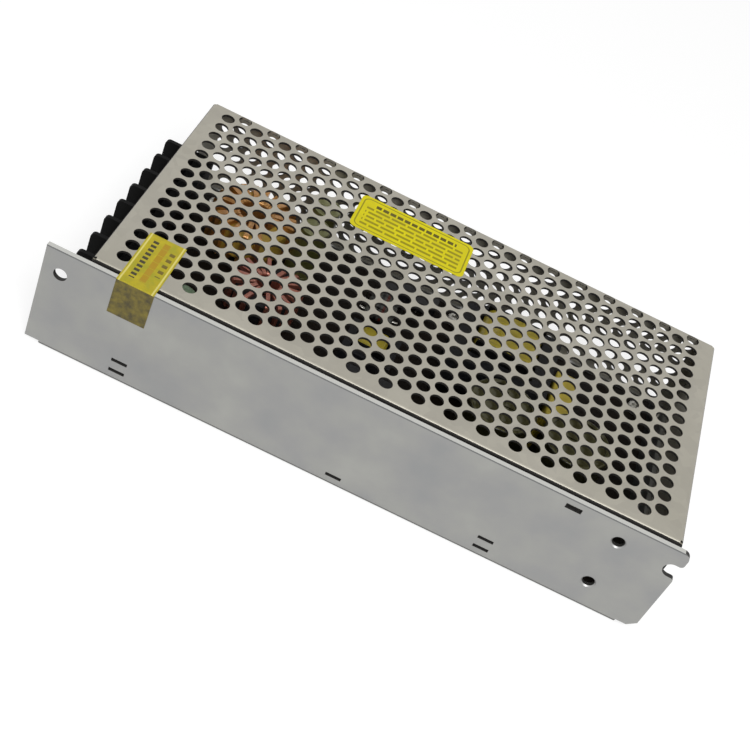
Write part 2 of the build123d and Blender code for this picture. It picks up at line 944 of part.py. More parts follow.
def make_line_choke_windings():
    """Two windings on opposite sides of the filter choke."""
    step = touching_step(line_choke_bore - line_choke_wire, line_choke_wire)
    halves = []
    for middle in (0, 180):
        first = middle - step * (line_choke_turns - 1) / 2
        angles = [first + i * step for i in range(line_choke_turns)]
        halves.append(
            ring_winding(
                line_choke_x,
                line_choke_y,
                line_choke_r,
                line_choke_bore,
                line_choke_height,
                line_choke_wire,
                angles,
            )
        )
    return Compound(children=halves)


def make_bridge_rectifier():
    """A flat bridge rectifier that stands on four legs."""
    length, width, height = bridge_size
    leg_x, leg_y, leg_z = bridge_leg
    low = board_top + leg_z
    body = Pos(bridge_x, bridge_y, low + height / 2) * Box(length, width, height)
    body = chamfer(body.edges().filter_by(Axis.Y).sort_by(Axis.X)[-1], bridge_corner)
    front = bridge_y - leg_y / 2
    back = bridge_y + leg_y / 2
    for i in range(bridge_legs):
        x = bridge_x + (i - (bridge_legs - 1) / 2) * bridge_leg_pitch
        body += block(x - leg_x / 2, x + leg_x / 2, front, back, board_top, low + join_depth)
    return body


def can(x, y, r, height):
    """A sleeved round capacitor: a rolled groove near its foot and a recessed top with a cross vent."""
    top = board_top + height
    face = top - r * can_recess
    body = upright(x, y, board_top, top, r)
    body = fillet(body.edges(), r * can_round)
    body -= upright(x, y, face, top + cut_past, r * can_face)
    body -= Pos(x, y, board_top + r * can_groove_height) * Torus(r * (1 + can_groove / 2), r * can_groove)
    return body - cross_cut(x, y, face, r * can_vent_width, r * can_recess, r * can_vent_reach)


def make_bulk_capacitors():
    """The two large capacitors of the mains side."""
    last = board_middle_x + bulk_last_offset
    places = [last - i * bulk_spacing for i in range(bulk_capacitors)]
    return Compound(children=[can(x, bulk_y, bulk_r, bulk_height) for x in places])


# Power devices


def device_places():
    """The X of each power device along the bar. The last one is the output rectifier."""
    middle = bar_left + bar_length / 2
    return [middle + (i - (devices - 1) / 2) * device_pitch for i in range(devices)]


def device_screw_height():
    """How high the device screws sit."""
    return board_top + device_lift + device_size[2] + (device_tab_height - device_size[2]) / 2


def bar_front():
    """The front face of the heat bar, behind its pad."""
    return chassis_t + pad_t


def make_pad():
    """The insulating pad between the heat bar and the side wall."""
    return block(bar_left, bar_left + bar_length, chassis_t, bar_front(), board_top, board_top + bar_height)


def make_heat_bar():
    """An aluminium bar that carries heat from the devices to the side wall."""
    back = bar_front() + bar_t
    bar = block(bar_left, bar_left + bar_length, bar_front(), back, board_top, board_top + bar_height)
    end = bar_front() + bar_hole_floor
    hole_r = device_screw_r + screw_clearance / 2
    for x in device_places():
        bar -= along_y(x, end, back + cut_past, device_screw_height(), hole_r)
    return bar


def power_device(x):
    """A device with a metal tab against the bar, a moulded body and three legs."""
    width, depth, height = device_size
    back = bar_front() + bar_t
    low = board_top + device_lift
    tab = block(x - width / 2, x + width / 2, back, back + device_tab_t, low, low + device_tab_height)
    hole_r = device_screw_r + screw_clearance
    tab -= along_y(x, back - cut_past, back + depth, device_screw_height(), hole_r)
    body = block(x - width / 2, x + width / 2, back, back + depth, low, low + height)
    body = chamfer(body.edges().filter_by(Axis.X).sort_by(Axis.Y)[-2:], device_edge)
    device = tab + body
    leg_width, leg_depth = device_leg
    leg_y = back + depth / 2
    for i in (-1, 0, 1):
        leg_x = x + i * device_leg_pitch
        device += block(
            leg_x - leg_width / 2,
            leg_x + leg_width / 2,
            leg_y - leg_depth / 2,
            leg_y + leg_depth / 2,
            board_top,
            low + join_depth,
        )
    return device


def make_switching_transistors():
    """The two devices that switch the mains."""
    return Compound(children=[power_device(x) for x in device_places()[:-1]])


def make_output_rectifier():
    """The device that rectifies the output."""
    return power_device(device_places()[-1])


def make_device_screws():
    """The screws that clamp the devices to the bar."""
    face = bar_front() + bar_t + device_tab_t
    z = device_screw_height()
    screws = []
    for x in device_places():
        head = along_y(x, face, face + device_screw_head_h, z, device_screw_head_r)
        head = fillet(head.edges().sort_by(Axis.Y)[-1], device_screw_head_h * head_round)
        tip = bar_front() + bar_hole_floor + screw_clearance
        screws.append(head + along_y(x, tip, face, z, device_screw_r))
    return Compound(children=screws)


# Transformers


def core_halves(x, y, sizes, lift):
    """Two E-shaped ferrite halves that meet in the middle."""
    length, width, thickness, leg, build = sizes
    low = board_top + lift
    window = width - 2 * leg
    outline = Rectangle(length, width)
    for side in (-1, 1):
        outline -= Pos(side * (leg + build / 2 + winding_gap / 2), 0) * Rectangle(build + winding_gap, window)
    whole = Pos(x, y, low) * extrude(outline, amount=thickness)
    halves = []
    for side in (-1, 1):
        half_y = y + side * width / 4
        half_box = Pos(x, half_y, low + thickness / 2) * Box(length, width / 2, thickness)
        halves.append(whole & half_box)
    return Compound(children=halves)


def winding_size(sizes):
    """The outer width and height of the taped winding around the middle leg."""
    thickness, leg, build = sizes[2:]
    return 2 * leg + 2 * build - 2 * bobbin_t, thickness + 2 * build - 2 * bobbin_t


def windings(x, y, sizes, lift):
    """The taped winding around the middle leg, with the bore that the leg passes through."""
    width, thickness, leg = sizes[1:4]
    outer_x, outer_z = winding_size(sizes)
    run = width - 2 * leg - 2 * bobbin_t - 4 * winding_gap
    shape = fillet(Rectangle(outer_x, outer_z).vertices(), leg * winding_round)
    shape -= Rectangle(2 * leg + 2 * winding_gap, thickness + 2 * winding_gap)
    body = extrude(Plane.XZ * shape, amount=run / 2, both=True)
    return Pos(x, y, board_top + lift + thickness / 2) * body


def bobbin(x, y, sizes, lift):
    """The end plates of the winding, each on the foot rail that stands on the board."""
    length, width, thickness, leg, build = sizes
    outer_x, outer_z = winding_size(sizes)
    inner_y = width / 2 - leg - winding_gap
    middle = Pos(x, y, board_top + lift + thickness / 2)
    plate_x = outer_x + 2 * winding_gap
    plate_z = outer_z + 2 * winding_gap
    hole = middle * Box(2 * leg + 2 * winding_gap, width, thickness + 2 * winding_gap)
    bay = middle * Box(plate_x, 2 * inner_y - 2 * bobbin_t, plate_z)
    rail_y = leg + bobbin_t
    pieces = []
    for side in (-1, 1):
        shift = Pos(0, side * (inner_y - bobbin_t / 2), 0)
        plate = shift * middle * Box(plate_x, bobbin_t, plate_z)
        rail = shift * Pos(x, y, board_top + lift / 2) * Box(length, rail_y, lift)
        pieces.append(plate - hole + rail - bay)
    return Compound(children=pieces)


def make_coupling_capacitor():
    """The film capacitor in series with the main transformer, beside its core."""
    right = main_transformer_x + main_core[0] / 2
    x = right + coupling_gap + coupling_capacitor_size[0] / 2
    return box_capacitor(x, board_middle_y + coupling_offset, coupling_capacitor_size)


# Output side


def make_output_choke_core():
    """The powder ring of the output choke."""
    return ring_core(
        output_choke_x,
        output_choke_y,
        output_choke_r,
        output_choke_bore,
        output_choke_height,
        output_choke_wire,
    )


def make_output_choke_winding():
    """Thick wire all around the output choke, but for a short gap at its ends."""
    step = touching_step(output_choke_bore - output_choke_wire, output_choke_wire)
    count = min(output_choke_turns, int(widest_winding / step))
    angles = [i * step for i in range(count)]
    return ring_winding(
        output_choke_x,
        output_choke_y,
        output_choke_r,
        output_choke_bore,
        output_choke_height,
        output_choke_wire,
        angles,
    )


def make_output_capacitors():
    """A row of round capacitors that smooth the output."""
    cans = []
    for i in range(output_capacitors):
        y = board_back - output_capacitor_inset - i * output_capacitor_spacing
        cans.append(can(output_capacitor_x, y, output_capacitor_r, output_capacitor_height))
    return Compound(children=cans)


def make_control_chip():
    """The control chip, with a row of legs on each long side."""
    length, width, height = chip_size
    leg_x, leg_y = chip_leg_size
    low = board_top + chip_lift
    body = Pos(chip_x, chip_y, low + height / 2) * Box(length, width, height)
    body -= upright(chip_x - length / 2, chip_y, low + height / 2, low + height + cut_past, chip_notch_r)
    for i in range(chip_legs):
        x = chip_x + (i - (chip_legs - 1) / 2) * chip_leg_pitch
        for side in (-1, 1):
            y = chip_y + side * (width / 2 + leg_y / 2)
            leg = Pos(x, y, (board_top + low + height / 2) / 2)
            body += leg * Box(leg_x, leg_y, low + height / 2 - board_top)
    return body


def make_resistors():
    """Three power resistors that lie on the board."""
    parts = []
    z = board_top + resistor_lift + resistor_r
    half = resistor_length / 2
    for i in range(resistors):
        y = board_back - resistor_inset - i * resistor_pitch
        body = along_x(resistor_x - half, resistor_x + half, y, z, resistor_r)
        body = fillet(body.edges(), resistor_round)
        for side in (-1, 1):
            x = resistor_x + side * (half + resistor_lead_reach)
            lead = along_x(min(x, resistor_x), max(x, resistor_x), y, z, lead_r)
            body += lead + upright(x, y, board_top, z + lead_r, lead_r)
        parts.append(body)
    return Compound(children=parts)


def make_parts():
    """Every node of the supply, by name."""
    main = (main_transformer_x, main_transformer_y, main_core, main_core_lift)
    driver = (driver_transformer_x, driver_transformer_y, driver_core, driver_core_lift)
    return {
        "chassis": make_chassis(),
        "perforated_cover": make_cover(),
        "cover_screws": make_cover_screws(),
        "top_label": make_top_label(),
        "seal_label": make_seal_label(),
        "insulating_sheet": make_insulating_sheet(),
        "circuit_board": make_board(),
        "board_standoffs": make_standoffs(),
        "board_screws": make_board_screws(),
        "terminal_block": make_terminal_block(),
        "terminal_plates": make_terminal_plates(),
        "terminal_clamps": make_terminal_clamps(),
        "terminal_screws": make_terminal_screws(),
        "trimmer_body": make_trimmer_body(),
        "trimmer_rotor": make_trimmer_rotor(),
        "indicator_lamp": make_lamp(),
        "fuse_glass": make_fuse_glass(),
        "fuse_caps": make_fuse_caps(),
        "fuse_clips": make_fuse_clips(),
        "thermistor": make_thermistor(),
        "suppression_discs": make_suppression_discs(),
        "line_capacitor": make_line_capacitor(),
        "line_choke_core": make_line_choke_core(),
        "line_choke_windings": make_line_choke_windings(),
        "bridge_rectifier": make_bridge_rectifier(),
        "bulk_capacitors": make_bulk_capacitors(),
        "insulating_pad": make_pad(),
        "heat_bar": make_heat_bar(),
        "switching_transistors": make_switching_transistors(),
        "output_rectifier": make_output_rectifier(),
        "device_screws": make_device_screws(),
        "main_transformer_core": core_halves(*main),
        "main_transformer_windings": windings(*main),
        "main_transformer_bobbin": bobbin(*main),
        "coupling_capacitor": make_coupling_capacitor(),
        "driver_transformer_core": core_halves(*driver),
        "driver_transformer_windings": windings(*driver),
        "driver_transformer_bobbin": bobbin(*driver),
        "output_choke_core": make_output_choke_core(),
        "output_choke_winding": make_output_choke_winding(),
        "output_capacitors": make_output_capacitors(),
        "control_chip": make_control_chip(),
        "resistors": make_resistors(),
    }


os.makedirs("parts", exist_ok=True)
to_origin = Pos(-case_length / 2, -case_width / 2, 0)
for name, shape in make_parts().items():
    export_step(to_origin * shape, f"parts/{name}.step")
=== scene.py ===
# %% [markdown]
# # A mesh case switching power supply
#
# This lesson dresses a finished model of a power supply in a folded metal case.
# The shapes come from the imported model, which this script loads as a fixed frame.
# What is left to do in Blender is the looks: a finish for every piece, soft studio light,
# a pale floor and the camera. Each step below says what a thing is on the real object,
# how it could be made, and why this way was chosen.

# %% Load the fixed frame
import math

import bpy
from mathutils import Matrix, Vector


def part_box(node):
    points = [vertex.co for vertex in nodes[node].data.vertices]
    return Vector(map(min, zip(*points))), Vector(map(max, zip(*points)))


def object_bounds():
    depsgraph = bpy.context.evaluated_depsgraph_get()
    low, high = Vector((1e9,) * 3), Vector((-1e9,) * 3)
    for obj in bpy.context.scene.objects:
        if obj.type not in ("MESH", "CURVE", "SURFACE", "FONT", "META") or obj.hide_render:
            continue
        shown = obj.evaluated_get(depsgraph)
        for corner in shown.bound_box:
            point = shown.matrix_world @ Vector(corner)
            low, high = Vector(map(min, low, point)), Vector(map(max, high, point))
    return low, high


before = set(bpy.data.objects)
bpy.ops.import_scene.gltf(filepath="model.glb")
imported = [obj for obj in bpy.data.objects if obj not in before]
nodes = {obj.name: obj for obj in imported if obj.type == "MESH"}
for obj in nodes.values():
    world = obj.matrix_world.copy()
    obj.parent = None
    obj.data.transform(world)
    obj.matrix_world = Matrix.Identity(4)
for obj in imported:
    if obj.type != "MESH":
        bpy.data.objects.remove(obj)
cad_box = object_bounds()
print("pieces:", len(nodes))

# %% [markdown]
# ## Units and colours
#
# Blender works in metres here, but a maker thinks in millimetres, so one named value turns
# one into the other. Colours are written as the hex codes of a paint program. Such codes are
# bent for the eye, and a renderer adds up straight light, so one function unbends them, with
# the numbers of the sRGB standard.

# %% Millimetres and colours
MM = 0.001


def linear(code):
    """The straight-light colour of an sRGB hex code such as #A0A09C."""
    channels = [int(code[i : i + 2], 16) / 255 for i in (1, 3, 5)]
    bent = [c / 12.92 if c <= 0.04045 else ((c + 0.055) / 1.055) ** 2.4 for c in channels]
    return (*bent, 1.0)


print("box in mm:", [[round(c / MM, 1) for c in corner] for corner in cad_box])
print("middle grey is", [round(c, 3) for c in linear("#7F7F7F")])

# %% [markdown]
# ## One helper for nodes
#
# A finish is a small network of nodes. Writing each node out takes four lines: make it, set
# its options, set its numbers, link it. One helper does all four and hands back one of the
# node's outputs. An input that is given an output of another node is linked to it, and any
# other value is written on the input itself. Colour stops are a place from 0 to 1 and a code.

# %% The node helper
def add(tree, kind, inputs=None, out=0, stops=(), **options):
    """Adds a node with its settings and links, and gives back one of its outputs."""
    made = tree.nodes.new("ShaderNode" + kind)
    for name, value in options.items():
        setattr(made, name, value)
    for name, value in (inputs or {}).items():
        if isinstance(value, bpy.types.NodeSocket):
            tree.links.new(value, made.inputs[name])
        else:
            made.inputs[name].default_value = value
    for index, (place, code) in enumerate(stops):
        points = made.color_ramp.elements
        point = points[index] if index < len(points) else points.new(place)
        point.position = place
        point.color = linear(code)
    return made.outputs[out] if made.outputs else None


# %% [markdown]
# ## From a recipe to a finish
#
# Each finish below is a recipe: a function that is given an empty node tree, draws its
# patterns in it, and gives back what goes into the surface shader. One function turns a recipe
# into a material, and another puts the material on pieces of the frame. It is put on the
# object, not on the mesh, so the frame's meshes stay as they are.

# %% Finishes and where they go
def finish(name, recipe, *values, **named):
    """A material from a recipe and the recipe's own values."""
    made = bpy.data.materials.new(name)
    made.use_nodes = True
    tree = made.node_tree
    tree.nodes.clear()
    surface = add(tree, "BsdfPrincipled", recipe(tree, *values, **named))
    add(tree, "OutputMaterial", {"Surface": surface})
    return made


def dress(made, *names):
    """Puts a finish on pieces of the frame."""
    for name in names:
        for slot in nodes[name].material_slots:
            slot.link = "OBJECT"
            slot.material = made
    print(made.name, "on", ", ".join(names))


# %% [markdown]
# ## A surface that wanders
#
# Nearly every made surface has three things in common: a colour that wanders a little, a
# gloss that wanders with it, and a skin that isn't quite flat. All three start from noise.
# Noise in Blender repeats about once per unit of its coordinates, and the coordinates here
# are metres, so a blotch of so many millimetres needs a scale of 1 divided by that size.
# A stretch below 1 along an axis draws the skin out along it, as rolling or weaving does.
# Noise runs from 0 to 1 but keeps mostly near its middle, so the tones are spread over that.
# Each finish gives its tones and its lowest and highest roughness, and then, in millimetres,
# the size of a blotch, the size of a grain and how deep the grain is.

# %% The wandering surface
NOISE_LOW = 0.3
NOISE_HIGH = 0.7
CLOUD_DETAIL = 4.0
SKIN_DETAIL = 2.0


def wandering(tree, tones, roughness, cloud_mm=8.0, skin_mm=0.4, depth_mm=0.01, stretch=(1, 1, 1), **more):
    """Colour and gloss that wander over cloud_mm, and a skin of grains of skin_mm, depth_mm deep."""
    place = add(tree, "TexCoord", out="Object")
    cloud = add(tree, "TexNoise", {"Vector": place, "Scale": 1 / (cloud_mm * MM), "Detail": CLOUD_DETAIL})
    drawn = add(tree, "Mapping", {"Vector": place, "Scale": stretch})
    grain = add(tree, "TexNoise", {"Vector": drawn, "Scale": 1 / (skin_mm * MM), "Detail": SKIN_DETAIL})
    step = (NOISE_HIGH - NOISE_LOW) / (len(tones) - 1)
    places = [NOISE_LOW + step * i for i in range(len(tones))]
    colour = add(tree, "ValToRGB", {"Fac": cloud}, stops=zip(places, tones))
    spread = {"Value": cloud, "From Min": NOISE_LOW, "From Max": NOISE_HIGH}
    gloss = add(tree, "MapRange", spread | {"To Min": roughness[0], "To Max": roughness[1]})
    normal = add(tree, "Bump", {"Height": grain, "Distance": depth_mm * MM})
    return {"Base Color": colour, "Roughness": gloss, "Normal": normal} | more


# %% [markdown]
# ## Asking a finish where it is
#
# One solid is often more than one stuff: a moulded body on tinned legs, or a sheet with
# freshly sheared edges. Two questions tell them apart. Where is this point, past a place
# along an axis or not? And which way does the surface look there? Both give 0 or 1, so sums
# join them: a product asks for all of some answers, and the largest for any of them. A surface
# counts as looking along an axis when it faces within about 45 degrees of it. There the part of
# its direction that lies along the axis is more than 0.7.

# %% Where and which way
LOOKING = 0.7


def past(tree, axis, place_mm):
    """1 where the object's own X, Y or Z is past a place in millimetres, and 0 elsewhere."""
    where = add(tree, "SeparateXYZ", {0: add(tree, "TexCoord", out="Object")}, out=axis)
    return add(tree, "Math", {0: where, 1: place_mm * MM}, operation="GREATER_THAN")


def looks_along(tree, axis):
    """1 where the surface looks along an axis, either way, and 0 elsewhere."""
    way = add(tree, "SeparateXYZ", {0: add(tree, "NewGeometry", out="Normal")}, out=axis)
    size = add(tree, "Math", {0: way}, operation="ABSOLUTE")
    return add(tree, "Math", {0: size, 1: LOOKING}, operation="GREATER_THAN")


def only(tree, *wanted, none_of=()):
    """1 where every wanted answer is 1 and no answer of none_of is."""
    answer = wanted[0]
    for other in wanted[1:]:
        answer = add(tree, "Math", {0: answer, 1: other}, operation="MULTIPLY")
    for other in none_of:
        answer = add(tree, "Math", {0: answer, 1: other}, operation="SUBTRACT", use_clamp=True)
    return answer


def any_of(tree, *answers):
    """1 where at least one of the answers is 1."""
    answer = answers[0]
    for other in answers[1:]:
        answer = add(tree, "Math", {0: answer, 1: other}, operation="MAXIMUM")
    return answer


def between(tree, axis, low_mm, high_mm):
    """1 where the object's own X, Y or Z lies between two places in millimetres."""
    return only(tree, past(tree, axis, low_mm), none_of=[past(tree, axis, high_mm)])


# %% [markdown]
# A blend puts two stuffs on one solid. Each input of the shader is mixed by itself. One that
# is the same in both stuffs is left alone, so that it is set on the shader's own socket. A Mix
# node has sockets for each kind of value, so their numbers are kept with the kind.

# %% Two stuffs on one solid
COLOUR_MIX = ("RGBA", 6, 7, 2)
NUMBER_MIX = ("FLOAT", 2, 3, 0)


def blend(tree, factor, first, second):
    """The inputs of the first stuff, turned into the second's where the factor is 1."""
    mixed = {}
    for name, value in first.items():
        if name in second and name != "Normal" and second[name] != value:
            kind, a, b, out = COLOUR_MIX if name == "Base Color" else NUMBER_MIX
            inputs = {0: factor, a: value, b: second[name]}
            mixed[name] = add(tree, "Mix", inputs, out=out, data_type=kind)
    return first | mixed


# %% [markdown]
# ## The side plate and base: rolled aluminium sheet
#
# The chassis is one sheet of aluminium, sheared, punched and folded. Rolls leave it satin,
# and handling leaves it softly blotched. A satin metal is mostly reflection, so its colour is
# set as metal and the look is made by roughness: high enough that nothing is mirrored, and a
# little uneven. Its grain is only thousandths of a millimetre deep and much finer than a
# pixel, so it is drawn at 0.7 mm and kept faint.
#
# The face has a thin painted shade line just under its top edge, and the top edge itself is
# painted paler, as a painted highlight where it faces up to the light. The walls of the holes
# and slits, the lanced strips behind the slits and the inside of the base are painted dark, as
# painted shade in these hollows. Along the bottom, where the bend turns the plate down and
# under, the face is painted darker, as painted shade. The places of these things are in
# millimetres: heights from the underside of the base, depths from the face.

# %% Rolled aluminium
PLATE_LOW, PLATE_HIGH = [[c / MM for c in corner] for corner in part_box("chassis")]
PLATE_MM = 1.5
# painted shade: how far below the top edge the darker line reaches
SHADE_LINE_MM = 0.5
BEND_LINE = 1.7
LANCES = (3.0, 10.0)
STRIP_REACH = 4.0
OFF_FACE = 0.02
OFF_EDGE = 0.05
# painted shade: the dark colour put in the holes, the slits and inside on the base
HOLLOW_SHADE_PAINT = {"Base Color": linear("#2C2B29"), "Roughness": 0.7, "Metallic": 0.3}


def painted_hollow_shade(tree):
    """Where painted shade goes: 1 on the walls of the plate's holes, on the strips behind its slits and
    inside on the base.
    """
    face = PLATE_LOW[1]
    back = face + PLATE_MM
    within = between(tree, "Y", face + OFF_FACE, back - OFF_FACE)
    walls = only(tree, within, past(tree, "Z", LANCES[0]), none_of=[looks_along(tree, "Y")])
    behind = between(tree, "Y", back + OFF_FACE, face + STRIP_REACH)
    strips = only(tree, behind, between(tree, "Z", *LANCES))
    skin = between(tree, "Z", PLATE_MM - OFF_EDGE, PLATE_MM + OFF_EDGE)
    on_base = only(tree, skin, looks_along(tree, "Z"))
    return any_of(tree, walls, strips, on_base)


def rolled_sheet(tree):
    tones = ("#939494", "#989897", "#9D9D9A", "#A3A39F")
    face = wandering(tree, tones, (0.40, 0.52), cloud_mm=16.0, skin_mm=0.7, depth_mm=0.002, Metallic=0.85)
    # painted shade: a dark line just under the top edge of the face
    painted_edge_shade = only(tree, past(tree, "Z", PLATE_HIGH[2] - SHADE_LINE_MM), looks_along(tree, "Y"))
    # painted shade: the face is painted darker along the bottom bend
    painted_bottom_shade = only(tree, looks_along(tree, "Y"), none_of=[past(tree, "Z", BEND_LINE)])
    # painted highlight: the top edge is painted paler where it faces up to the light
    painted_lit_edge = only(tree, past(tree, "Z", PLATE_HIGH[2] - OFF_EDGE), looks_along(tree, "Z"))
    face = blend(tree, painted_edge_shade, face, {"Base Color": linear("#767777"), "Roughness": 0.5})
    face = blend(tree, painted_bottom_shade, face, {"Base Color": linear("#6E6E6C"), "Roughness": 0.6})
    # painted shade in the walls of the holes and slits, on the strips behind them and inside on the base
    face = blend(tree, painted_hollow_shade(tree), face, HOLLOW_SHADE_PAINT)
    return blend(tree, painted_lit_edge, face, {"Base Color": linear("#C2C2BE"), "Roughness": 0.55, "Metallic": 0.85})


dress(finish("rolled_aluminium_sheet", rolled_sheet), "chassis")

# %% [markdown]
# ## The cover: punched, zinc-plated steel
#
# The cover is thinner steel, a little warmer than the aluminium. Zinc freezes in crystals, the
# spangle, which shows as faint patches a few millimetres wide. A texture of cells makes such
# patches: each cell gets its own value. A dull film forms on zinc and scatters light much as
# paint does, so the finish is not quite all metal.
#
# The holes are real holes in the model. Their walls, which are what is seen of the sheet's
# thickness, are painted dark as painted shade, and so is the narrow front flange with its
# hook behind the side plate.

# %% Zinc-plated steel
SPANGLE_MM = 3.5
COVER_LOW, COVER_HIGH = [[c / MM for c in corner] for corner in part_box("perforated_cover")]
SHEET_MM = 0.8
BEND_MM = 1.1
FLANGE_BACK = 3.35
FLANGE_DROP = 0.6 * BEND_MM
SPANGLE_SHARE = 0.3
# painted shade: the dark colour put on the hole walls, the cut edges and the front flange
SHADED_STEEL_PAINT = {"Base Color": linear("#262422"), "Roughness": 0.7, "Metallic": 0.4}


def painted_wall_shade(tree):
    """Where painted shade goes: 1 on the walls of the holes and the sheet's cut edges, and on the front
    flange.
    """
    in_top = past(tree, "Z", COVER_HIGH[2] - SHEET_MM - OFF_EDGE)
    flat = between(tree, "Y", COVER_LOW[1] + 2 * BEND_MM, COVER_HIGH[1] - BEND_MM)
    on_top = only(tree, in_top, flat, none_of=[looks_along(tree, "Z")])
    in_wall = past(tree, "Y", COVER_HIGH[1] - SHEET_MM - OFF_EDGE)
    bend = past(tree, "Z", COVER_HIGH[2] - BEND_MM)
    on_wall = only(tree, in_wall, none_of=[bend, looks_along(tree, "Y")])
    above = past(tree, "Z", COVER_HIGH[2] - FLANGE_DROP)
    rest = any_of(tree, past(tree, "Y", COVER_LOW[1] + FLANGE_BACK), above)
    flange = add(tree, "Math", {0: 1.0, 1: rest}, operation="SUBTRACT")
    return any_of(tree, on_top, on_wall, flange)


def plated_sheet(tree):
    tones = ("#A29E91", "#A9A599", "#B0ACA0")
    face = wandering(tree, tones, (0.42, 0.54), cloud_mm=30.0, skin_mm=0.6, depth_mm=0.002, Metallic=0.6)
    place = add(tree, "TexCoord", out="Object")
    cells = add(tree, "TexVoronoi", {"Vector": place, "Scale": 1 / (SPANGLE_MM * MM)}, out="Color")
    cell = add(tree, "SeparateColor", {0: cells})
    faint = add(tree, "MapRange", {"Value": cell, "To Min": 0.0, "To Max": SPANGLE_SHARE})
    face = blend(tree, faint, face, {"Base Color": linear("#8F8B83"), "Roughness": 0.4})
    # painted shade on the hole walls, the cut edges and the front flange
    return blend(tree, painted_wall_shade(tree), face, SHADED_STEEL_PAINT)


dress(finish("zinc_plated_steel_sheet", plated_sheet), "perforated_cover")

# %% [markdown]
# ## Screws and small plated metal
#
# Screws are cold-headed and zinc-plated. They are brighter than sheet, because the head is
# pressed in a polished die. Tin on terminals and fuse caps is whiter and softer in its gloss.
# The heat bar is extruded, so its grain is drawn out along its length.

# %% Plated screws, tinned metal and the heat bar
plated = finish("zinc_plated_screw", wandering, ("#A8A7A2", "#CFCDC6"), (0.24, 0.38), 0.7, 0.5, 0.003,
                Metallic=1.0)
tinned = finish("tinned_brass", wandering, ("#B4B2AC", "#D8D6D0"), (0.28, 0.42), 1.1, 0.6, 0.004,
                Metallic=1.0)
extruded = finish("extruded_aluminium_bar", wandering, ("#8F9090", "#A9A9A8"), (0.36, 0.5), 6.0, 0.5, 0.006,
                  (0.05, 1, 1), Metallic=1.0)
dress(plated, "cover_screws", "board_screws", "board_standoffs", "terminal_screws", "device_screws")
dress(tinned, "terminal_plates", "terminal_clamps", "fuse_caps", "fuse_clips")
dress(extruded, "heat_bar")

# %% [markdown]
# ## Print on the two yellow labels
#
# A label is printed film. These two carry rows of plain bars of ink, so that each reads as
# printed from a step away. A brick texture is a quick way to get rows of short bars, and
# its offset and squash make them uneven. The print is laid out in millimetres from the label's
# own corner, as with a ruler. A border is a rounded box: how far a point is from such a box
# is a short sum, and the line is where that distance is nearly nothing.

# %% Printing
UNEVEN = {"offset": 0.37, "squash": 0.62, "squash_frequency": 3}
SOFT_EDGE = 0.25


def ruler(tree, corner, stretch=1.0):
    """Millimetres from a corner. A stretch makes the bars shorter along the row."""
    scale = (stretch / MM, 1 / MM, 1 / MM)
    shift = tuple(-c * s for c, s in zip(corner, scale))
    place = add(tree, "TexCoord", out="Object")
    return add(tree, "Mapping", {"Vector": place, "Scale": scale, "Location": shift})


def outside_box(tree, place, centre, half, radius=0.1):
    """How far a point is outside a flat box with rounded corners, in millimetres."""
    inner = (half[0] - radius, half[1] - radius, 0)
    flat = add(tree, "VectorMath", {0: place, 1: (1, 1, 0)}, operation="MULTIPLY")
    moved = add(tree, "VectorMath", {0: flat, 1: (*centre, 0)}, operation="SUBTRACT")
    folded = add(tree, "VectorMath", {0: moved}, operation="ABSOLUTE")
    beyond = add(tree, "VectorMath", {0: folded, 1: inner}, operation="SUBTRACT")
    kept = add(tree, "VectorMath", {0: beyond, 1: (0, 0, 0)}, operation="MAXIMUM")
    length = add(tree, "VectorMath", {0: kept}, out="Value", operation="LENGTH")
    return add(tree, "Math", {0: length, 1: radius}, operation="SUBTRACT")


def print_rows(tree, corner, paper, ink, box, bar, stretch=1.0):
    """Rows of bars of ink in a box on the paper. The bar is its length, a row's height and the gap."""
    length, row, gap = bar
    inputs = {"Vector": ruler(tree, corner, stretch), "Scale": 1.0}
    inputs |= {"Color1": ink, "Color2": ink, "Mortar": paper}
    inputs |= {"Mortar Size": gap, "Mortar Smooth": SOFT_EDGE, "Brick Width": length, "Row Height": row}
    rows = add(tree, "TexBrick", inputs, **UNEVEN)
    distance = outside_box(tree, ruler(tree, corner), *box)
    within = add(tree, "Math", {0: distance, 1: 0.0}, operation="LESS_THAN")
    return add(tree, "Mix", {0: within, 6: paper, 7: rows}, out=2, data_type="RGBA")


def print_line(tree, corner, paper, ink, box, width):
    """A line of ink round a box on the paper."""
    distance = outside_box(tree, ruler(tree, corner), *box)
    near = add(tree, "Math", {0: distance}, operation="ABSOLUTE")
    on_line = add(tree, "Math", {0: near, 1: width / 2}, operation="LESS_THAN")
    return add(tree, "Mix", {0: on_line, 6: paper, 7: ink}, out=2, data_type="RGBA")


# %% [markdown]
# The long label has a thin rounded border, one bold row near its far edge and five finer rows
# below it, of which the ink is only a little darker than the paper.

# %% The long label
SATIN_FILM = {"IOR": 1.5, "Specular IOR Level": 0.3}
BORDER_INSET = 1.2
BORDER_RADIUS = 2.0
BORDER_LINE = 0.45
FINE_BAR = (9.0, 2.2, 0.66)
FINE_STRETCH = 1.6
FINE_DROP = 1.5
FINE_SIDE = 2.8
FINE_HALF = 5.6
BOLD_BAR = (4.6, 2.6, 0.6)
BOLD_STRETCH = 1.8
BOLD_INSET = 3.4
BOLD_SHARE = 0.72


